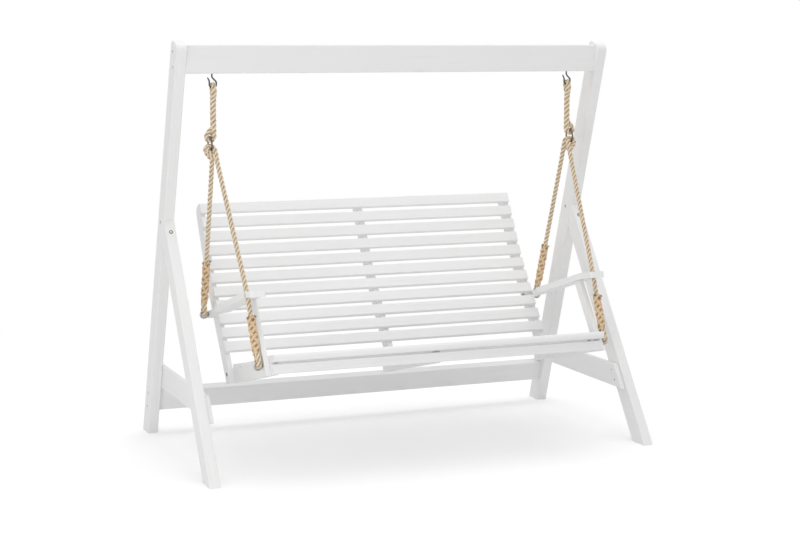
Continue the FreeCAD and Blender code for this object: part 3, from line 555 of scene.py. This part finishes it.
ROPES = {
    "upper_rope": {
        "route": UPPER_ROUTE, "length": 0.392, "full": (0.085, -0.075, 1.27), "splice": None,
        "frays": [(-0.055, (-1, -0.5, 0.2))],
    },
    "rear_rope": {
        "route": REAR_ROUTE, "length": 0.95, "full": RING_EYE, "splice": REAR_SPLICE,
        "frays": splice_frays(REAR_SPLICE),
    },
    "front_rope": {
        "route": FRONT_ROUTE, "length": 1.127, "full": RING_EYE, "splice": FRONT_SPLICE,
        "frays": splice_frays(FRONT_SPLICE),
    },
}


def route_line(points, side):
    """The points of a smooth curve that has the route's points as its control points."""
    curve = bpy.data.curves.new("route", "CURVE")
    curve.dimensions = "3D"
    curve.resolution_u = 40
    spline = curve.splines.new("NURBS")
    spline.points.add(len(points) - 1)
    for control, (x, y, z) in zip(spline.points, points):
        control.co = (x * side, y, z, 1)
    spline.order_u = 3
    spline.use_endpoint_u = True
    holder = bpy.data.objects.new("route", curve)
    scene.collection.objects.link(holder)
    mesh = bpy.data.meshes.new_from_object(holder)
    line = [vertex.co.copy() for vertex in mesh.vertices]
    bpy.data.objects.remove(holder)
    bpy.data.curves.remove(curve)
    bpy.data.meshes.remove(mesh)
    return spread_evenly(line, ROUTE_STEP)


def from_start(at, total):
    """A distance from a rope's start, where one below 0 is counted back from its end."""
    return at if at >= 0 else total + at


def point_at(line, at):
    """The first point of a line that is at least so far along it."""
    return next(point for point, along in zip(line, distances(line)) if along >= at)


def part_of(line, first, last):
    """The stretch of a line between two distances, both from its start."""
    return [point for point, along in zip(line, distances(line)) if first <= along <= last]


def fullness(along, full):
    """How thick a rope is at a distance: 1, or more inside its full part."""
    first, last, factor = full
    near = min((along - first) / TAPER, (last - along) / TAPER, 1.0)
    return 1 + (factor - 1) * math.sin(near * math.pi / 2) if near > 0 else 1.0


def lay_strands(shape, line, full):
    """Right-handed strands twisted round a line."""
    stations = frames(line)
    reach = distances(line)
    sizes = [ROPE_RADIUS * fullness(along, full) for along in reach]
    offsets = [size * STRAND_OFFSET for size in sizes]
    radii = [size * STRAND_RADIUS for size in sizes]
    for number in range(STRANDS):
        angles = [math.tau * (along / LAY + number / STRANDS) for along in reach]
        shape.strand(stations, offsets, angles, radii)


def swell(share):
    """How full a splice is at a share of its length: 1 in the middle, and less over the two ends."""
    ends = min(SWELL_START + share / SWELL_START_RUN, SWELL_END + (1 - share) / SWELL_END_RUN, 1.0)
    return SWELL_LEAST + SWELL_GAIN * math.sin(ends * math.pi / 2)


def plait(shape, line, outer):
    """A splice: the rope's strands with its turned-back ends woven over and under them."""
    stations = frames(line)
    reach = distances(line)
    sizes = [outer * swell(along / reach[-1]) for along in reach]
    shape.tube(line, [size * CORE_RADIUS for size in sizes], sides=12)
    crossings = LAID_RATE + TUCKED_RATE
    for turn, rate, thick in ((1, LAID_RATE, LAID_RADIUS), (-1, TUCKED_RATE, TUCKED_RADIUS)):
        weaves = [turn * math.cos(math.pi * STRANDS * along * crossings) for along in reach]
        offsets = [size * (PLAIT_OFFSET + PLAIT_WEAVE * weave) for size, weave in zip(sizes, weaves)]
        for number in range(STRANDS):
            angles = [math.tau * (turn * along * rate + number / STRANDS) for along in reach]
            shape.strand(stations, offsets, angles, [size * thick for size in sizes])


def tuft(shape, base, heading, seed):
    """The frayed end of a strand: a stub and loose fibres."""
    rng = random.Random(seed)
    heading = heading.normalized()
    normal = heading.orthogonal().normalized()
    side = heading.cross(normal)
    stub = [base + heading * (FRAY_LENGTH * share) for share in STUB_SHARES]
    shape.tube(stub, STUB_RADII, sides=10)
    for _ in range(FIBRES):
        spread = rng.uniform(0, math.tau)
        lean = rng.uniform(0.0, 0.55)
        outward = (heading + (normal * math.cos(spread) + side * math.sin(spread)) * lean).normalized()
        droop = Vector((rng.uniform(-0.3, 0.3), rng.uniform(-0.3, 0.3), rng.uniform(-0.9, 0.1)))
        reach = FRAY_LENGTH * rng.uniform(0.6, 1.25)
        root = base + (normal * rng.uniform(-1, 1) + side * rng.uniform(-1, 1)) * FRAY_WIDTH
        path = [root + outward * (reach * t) + droop * (reach * FIBRE_DROOP * t * t) for t in FIBRE_SHARES]
        shape.tube(path, FIBRE_RADII, sides=4)


def make_rope(label, kind, side, body, materials):
    """One rope with its frayed ends and its splice, made by the table of ropes."""
    name, node, plan = f"{label}_{kind}_laid", f"{label}_{kind}", ROPES[kind]
    line = route_line(plan["route"], side)
    total = distances(line)[-1]
    first, last, factor = plan["full"]
    shape = Shape()
    lay_strands(shape, line, (from_start(first, total), from_start(last, total), factor))
    rope = shape.build(name, materials["rope"], body, slot="rope")
    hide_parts(node)
    frayed = Shape()
    for number, (at, heading) in enumerate(plan["frays"]):
        point = point_at(line, from_start(at, total))
        outward = mirrored(heading, side).normalized()
        tuft(frayed, point + outward * FRAY_ROOT, outward, f"{name}{number}")
    pieces = [frayed.build(f"{name}_frays", materials["fray"], body, slot="rope")]
    if plan["splice"]:
        first, last, outer = plan["splice"]
        woven = Shape()
        plait(woven, part_of(line, first, last), outer)
        pieces.append(woven.build(f"{name}_splices", materials["splice"], body, slot="rope"))


def make_ropes():
    materials = {
        "rope": hemp("hemp_rope", (0.88, 0.74, 0.55, 1), (0.26, 0.175, 0.10, 1)),
        # The splice gets more painted shade where its strands turn in.
        "splice": hemp("hemp_splice", (0.82, 0.61, 0.39, 1), (0.22, 0.13, 0.065, 1), 0.006, 0.40),
        "fray": hemp("hemp_fray", (0.56, 0.37, 0.21, 1), (0.15, 0.085, 0.04, 1)),
    }
    for label, side in SIDES:
        for kind in ROPES:
            body = f"{label}_hanger" if kind == "upper_rope" else "bench"
            make_rope(label, kind, side, body, materials)


# Screws and bolts of the boards. Places are those of the right side, in metres.
POST_OUTER, POST_INNER, RAIL_INNER = 1.0, 0.955, 0.933
POST_SCREWS = ((-0.043, 1.7186), (-0.043, 1.6514), (0.4695, 0.188), (0.4889, 0.124))
POST_SCREW_RADIUS, POST_SCREW_HEIGHT = 0.0062, 0.0018
RAIL_SCREWS = (
    (0.4425, 0.292, 0.0042), (0.4500, 0.252, 0.0042), (-0.300, 0.292, 0.0042), (-0.328, 0.252, 0.0056),
)
RAIL_SCREW_HEIGHT = 0.0012
BARREL_PLACE = (0.2052, 0.983)
BARREL_FACE = [(-0.0003, 0.0052), (0.0003, 0.0052), (0.0005, 0.0048), (0.0005, 0)]
# The hole shades are thin dark discs of painted shade round the bolts, standing for the shade inside their
# holes.
BARREL_HOLE_SHADE = [(-0.0002, 0.0066), (0.0002, 0.0066), (0.00025, 0.0050)]
LEG_BOLT = Vector((0.9775, 0.1078, 0.9499))
LEG_BOLT_FACE = [(-0.0002, 0.0062), (0.0003, 0.0062), (0.0004, 0)]
LEG_HOLE_SHADE = [(-0.0002, 0.0090), (0.0002, 0.0088), (0.0003, 0.0050)]
BENCH_BOLT = Vector((0.762, 0.0208, 0.335))
BENCH_BOLT_DROP = 0.004
BENCH_BOLT_FACE = [(-0.0002, 0.0026), (0.0004, 0.0026), (0.0005, 0)]
BENCH_HOLE_SHADE = [(-0.0002, 0.0090), (0.0002, 0.0088), (0.0003, 0.0045)]
ARM_SLOPE = 15.9
ARM_SCREW_X, ARM_SCREW_RUNS, ARM_SCREW_LIFT = 0.751, (0.533, 0.551), 0.0135
ARM_SCREW_RADIUS, ARM_SCREW_HEIGHT = 0.0040, 0.0010


def lens_head(shape, base, axis, radius, height):
    """A low round head with a small round recess."""
    profile = [
        (-0.0004, radius * 0.9), (0.0001, radius), (height * 0.45, radius * 0.94),
        (height * 0.85, radius * 0.66), (height, radius * 0.36), (height * 0.5, radius * 0.30),
        (height * 0.5, 0),
    ]
    shape.turned(profile, base, axis, sides=20)


def make_stand_screws(zinc, painted_hollow_shade):
    """The stand's screw heads, the ends of the bolts that hold the legs to the posts, and thin dark discs of
    painted shade round the barrel nuts and the leg bolts.
    """
    heads, painted_hole_shades = Shape(), Shape()
    lean = math.radians(LEG_LEAN)
    leg_axis = Vector((0, -math.cos(lean), math.sin(lean)))
    for _, side in SIDES:
        outward, inward = X * side, X * -side
        for y, z in POST_SCREWS:
            place = Vector((POST_OUTER * side, y, z))
            lens_head(heads, place, outward, POST_SCREW_RADIUS, POST_SCREW_HEIGHT)
        for y, z, radius in RAIL_SCREWS:
            lens_head(heads, Vector((RAIL_INNER * side, y, z)), inward, radius, RAIL_SCREW_HEIGHT)
        for x, axis in ((POST_OUTER, outward), (POST_INNER, inward)):
            barrel = Vector((x * side, *BARREL_PLACE))
            heads.turned(BARREL_FACE, barrel, axis, sides=24)
            painted_hole_shades.turned(BARREL_HOLE_SHADE, barrel, axis, sides=28)
        leg_bolt = mirrored(LEG_BOLT, side)
        painted_hole_shades.turned(LEG_HOLE_SHADE, leg_bolt, leg_axis, sides=28)
        heads.turned(LEG_BOLT_FACE, leg_bolt, leg_axis, sides=6)
    heads.build("stand_screws", zinc, "stand", slot="zinc_steel")
    painted_hole_shades.build("stand_bolt_hole_shades", painted_hollow_shade, "stand", slot="zinc_steel")


def on_slope(start, lean, run, lift):
    """A place (y, z) along a line that climbs forwards: run along it, lift square to it."""
    level, climb = math.cos(math.radians(lean)), math.sin(math.radians(lean))
    return start.y - run * level + lift * climb, start.z + run * climb + lift * level


def make_bench_screws(zinc, painted_hollow_shade):
    """A bolt in each of the bench's sides with a thin dark disc of painted shade round it, and two screws on
    top of each armrest.
    """
    heads, painted_hole_shades = Shape(), Shape()
    slope = math.radians(ARM_SLOPE)
    up = Vector((0, math.sin(slope), math.cos(slope)))
    for _, side in SIDES:
        outward = X * side
        bolt = mirrored(BENCH_BOLT, side)
        painted_hole_shades.turned(BENCH_HOLE_SHADE, bolt, outward, sides=28)
        heads.turned(BENCH_BOLT_FACE, bolt - Z * BENCH_BOLT_DROP, outward, sides=6)
        for run in ARM_SCREW_RUNS:
            place = Vector((ARM_SCREW_X * side, *on_slope(REAR_EYE, ARM_SLOPE, run, ARM_SCREW_LIFT)))
            lens_head(heads, place, up, ARM_SCREW_RADIUS, ARM_SCREW_HEIGHT)
    heads.build("bench_bolts", zinc, "bench", slot="zinc_steel")
    painted_hole_shades.build("bench_bolt_hole_shades", painted_hollow_shade, "bench", slot="zinc_steel")


# The slats, where the uprights or bearers are along X, and about where the visible faces point
SLAT_GROUPS = (
    (BACK_SLATS, (-0.751, 0.0, 0.751), Vector((0, -0.85, 0.5))),
    (SEAT_SLATS, (-0.726, -0.025, 0.726), Vector((0, 0.2, 0.98))),
)
FACING_LIMIT, PARALLEL_LIMIT = 0.93, 0.999
PLUG = [(-0.0002, 0.0040), (0.0002, 0.0039), (0.00035, 0.0034), (0.0003, 0.0)]


def make_slat_plugs(wood):
    """Filled and painted screw holes, one at each slat's crossing of an upright or bearer."""
    shape = Shape()
    for labels, across, facing in SLAT_GROUPS:
        for label in labels:
            normal, y, z = best_face(nodes[label].data, facing)
            for x in across:
                shape.turned(PLUG, Vector((x, y, z)), normal, sides=18)
    shape.build("slat_plugs", wood, "bench", slot="painted_pine")


def best_face(mesh, facing):
    """The normal of a slat's broad visible face, and the y and z of its middle."""
    points, direction = [], None
    for polygon in mesh.polygons:
        if polygon.normal.dot(facing) > FACING_LIMIT:
            direction = direction or polygon.normal.copy()
            if polygon.normal.dot(direction) > PARALLEL_LIMIT:
                points += [mesh.vertices[i].co.copy() for i in polygon.vertices]
    ys, zs = [p.y for p in points], [p.z for p in points]
    return direction, (min(ys) + max(ys)) / 2, (min(zs) + max(zs)) / 2


# Room, lamps and camera
FLOOR_REACH = 30
FLOOR_GLOW = 0.20
FADE_START, FADE_END = 1.9, 3.6
SKY_LOW, SKY_HIGH = 0.62, 0.86
LAMPS = (
    ("key", (-2.6, -4.2, 4.6), (0, 0, 0.7), 3.2, 3.2, 3),
    ("low_fill", (-2.9, -3.2, 0.5), (0.3, 0, 0.3), 3.0, 0.9, 26),
    ("top", (0.4, 0.3, 5.2), (0, 0, 0.5), 4.8, 4.8, 78),
)
FRAME_WIDTH = 800
FOCAL_PIXELS = 1697.6
SHIFT_X_PIXELS, SHIFT_Y_PIXELS = 2.32, -80
SENSOR_WIDTH = 36
CAMERA_PLACE = (-2.7481, -6.9295, 1.7536)
CAMERA_AZIMUTH, CAMERA_ELEVATION = math.radians(-21.770), math.radians(4.841)


def make_floor():
    """A pale floor that fades to white away from the swing where the camera sees it."""
    far = FLOOR_REACH
    mesh = bpy.data.meshes.new("floor")
    mesh.from_pydata([(-far, -far, 0), (far, -far, 0), (far, far, 0), (-far, far, 0)], [], [(0, 1, 2, 3)])
    floor = bpy.data.objects.new("floor", mesh)
    scene.collection.objects.link(floor)
    material, tree = new_material("floor_white")
    place = tree.place()
    base = tree.mix(tree.noise(place, scale=1.5), grey(0.86), grey(0.87))
    diffuse = tree.add("ShaderNodeBsdfDiffuse", Color=base)
    seen = tree.add("ShaderNodeLightPath").outputs["Is Camera Ray"]
    glow = tree.add("ShaderNodeEmission", Strength=tree.math("MULTIPLY", seen, FLOOR_GLOW))
    near = tree.add("ShaderNodeAddShader", i0=diffuse, i1=glow)
    reach = tree.add("ShaderNodeVectorMath", {"operation": "LENGTH"}, i0=place).outputs["Value"]
    fade = tree.math("MULTIPLY", tree.ramp(reach, FADE_START, FADE_END), seen)
    white = tree.add("ShaderNodeEmission", Strength=1.0)
    ground = tree.add("ShaderNodeMixShader", i0=fade, i1=near, i2=white)
    tree.add("ShaderNodeOutputMaterial", Surface=ground)
    mesh.materials.append(material)


def make_sky():
    """White to the camera and in reflections, and as a light a little brighter from above."""
    world = bpy.data.worlds.new("studio")
    scene.world = world
    tree = Tree(world)
    path = tree.add("ShaderNodeLightPath")
    seen = tree.math("MAXIMUM", path.outputs["Is Camera Ray"], path.outputs["Is Glossy Ray"])
    seen = tree.math("MAXIMUM", seen, path.outputs["Is Transmission Ray"])
    sky = tree.add("ShaderNodeTexCoord").outputs["Generated"]
    height = tree.add("ShaderNodeSeparateXYZ", Vector=sky).outputs[2]
    level = tree.add(
        "ShaderNodeMapRange", Value=height, From_Min=-0.1, From_Max=1.0, To_Min=SKY_LOW, To_Max=SKY_HIGH,
    )
    strength = tree.add("ShaderNodeMix", {"data_type": "FLOAT"}, i0=seen, i2=level, i3=1.0)
    background = tree.add("ShaderNodeBackground", Color=(1, 1, 1, 1), Strength=strength)
    tree.add("ShaderNodeOutputWorld", Surface=background)


def make_lamp(name, place, target, width, height, power):
    """A soft rectangular lamp that the camera doesn't see: sizes in metres, power in watts."""
    light = bpy.data.lights.new(name, "AREA")
    light.shape = "RECTANGLE"
    light.size, light.size_y = width, height
    light.energy = power
    holder = bpy.data.objects.new(name, light)
    scene.collection.objects.link(holder)
    holder.location = place
    holder.visible_camera = False
    holder.rotation_mode = "QUATERNION"
    holder.rotation_quaternion = (Vector(target) - Vector(place)).to_track_quat("-Z", "Y")


def make_camera():
    """The photograph's viewing angle. A lens and shift in pixels are those of its 800 pixel frame."""
    camera = bpy.data.objects.new("camera", bpy.data.cameras.new("camera"))
    scene.collection.objects.link(camera)
    level = math.cos(CAMERA_ELEVATION)
    ahead = Vector((
        -math.sin(CAMERA_AZIMUTH) * level, math.cos(CAMERA_AZIMUTH) * level, -math.sin(CAMERA_ELEVATION),
    ))
    camera.location = CAMERA_PLACE
    camera.rotation_mode = "QUATERNION"
    camera.rotation_quaternion = ahead.to_track_quat("-Z", "Y")
    camera.data.sensor_width = SENSOR_WIDTH
    camera.data.lens = FOCAL_PIXELS * SENSOR_WIDTH / FRAME_WIDTH
    camera.data.shift_x = SHIFT_X_PIXELS / FRAME_WIDTH
    camera.data.shift_y = SHIFT_Y_PIXELS / FRAME_WIDTH
    camera.data.clip_start, camera.data.clip_end = 0.05, 200
    scene.camera = camera


wood_along = dress_boards()
dark_steel = steel("dark_steel", 0.16, 0.05, 0.42)
bright_zinc = steel("bright_zinc", 0.62, 0.0, 0.30)
# Painted shade for the bolt holes.
bolt_hole_painted_shade = shadow_gap("bolt_hole_painted_shade")
make_hooks(dark_steel)
make_rings(dark_steel)
make_eyes(bright_zinc)
make_ropes()
make_stand_screws(bright_zinc, bolt_hole_painted_shade)
make_bench_screws(bright_zinc, bolt_hole_painted_shade)
make_slat_plugs(wood_along)
make_floor()
make_sky()
for settings in LAMPS:
    make_lamp(*settings)
make_camera()
scene.view_settings.view_transform = "Standard"
